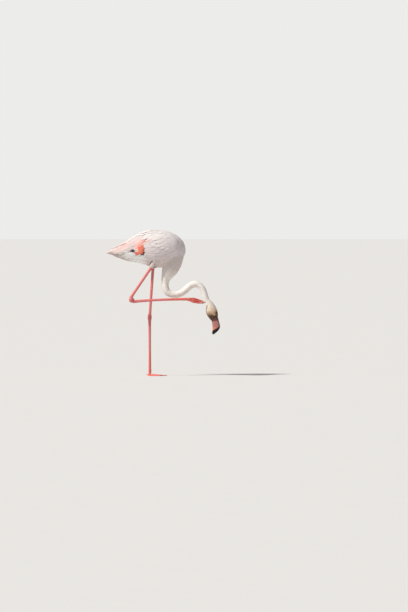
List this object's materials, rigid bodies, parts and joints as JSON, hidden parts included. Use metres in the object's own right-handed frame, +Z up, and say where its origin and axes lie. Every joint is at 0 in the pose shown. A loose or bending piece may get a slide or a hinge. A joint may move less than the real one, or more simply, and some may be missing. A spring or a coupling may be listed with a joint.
{
  "type": "flamingo",
  "caption": "Life-size greater flamingo standing on its left leg, neck curved down, scratching its throat with its right foot. Still museum-like model.",
  "frame": {"origin": "on the floor, in the middle of the flat of the pad of the standing (left) foot", "axes": "+X forwards, the way the bird faces; +Y to its left; +Z up"},
  "size_m": [0.6523, 0.1772, 0.8355],
  "materials": {
    "plumage": "matte pale pink and white feathers, coral on the wing coverts",
    "leg_skin": "satin pink scaly skin",
    "bill": "satin pink horn with a black tip",
    "claw": "satin black horn",
    "eye": "wet pale yellow iris with a black pupil"
  },
  "bodies": {
    "root": {"trunk": "plumage", "tail": "plumage", "wing_left": "plumage", "wing_right": "plumage", "neck_root": "plumage", "neck_fold": "plumage", "neck_rise": "plumage", "neck_arch": "plumage", "neck_nape": "plumage", "head": "plumage", "thigh_left": "plumage", "thigh_right": "plumage", "eye_left": "eye", "eye_right": "eye", "bill_upper": "bill", "bill_lower": "bill", "shank_left": "leg_skin", "shank_right": "leg_skin", "ankle_left": "leg_skin", "ankle_right": "leg_skin", "tarsus_left": "leg_skin", "tarsus_right": "leg_skin", "foot_left": "leg_skin", "foot_right": "leg_skin", "claw_left_inner": "claw", "claw_left_middle": "claw", "claw_left_outer": "claw", "claw_right_inner": "claw", "claw_right_middle": "claw", "claw_right_outer": "claw"}
  },
  "joints": []
}
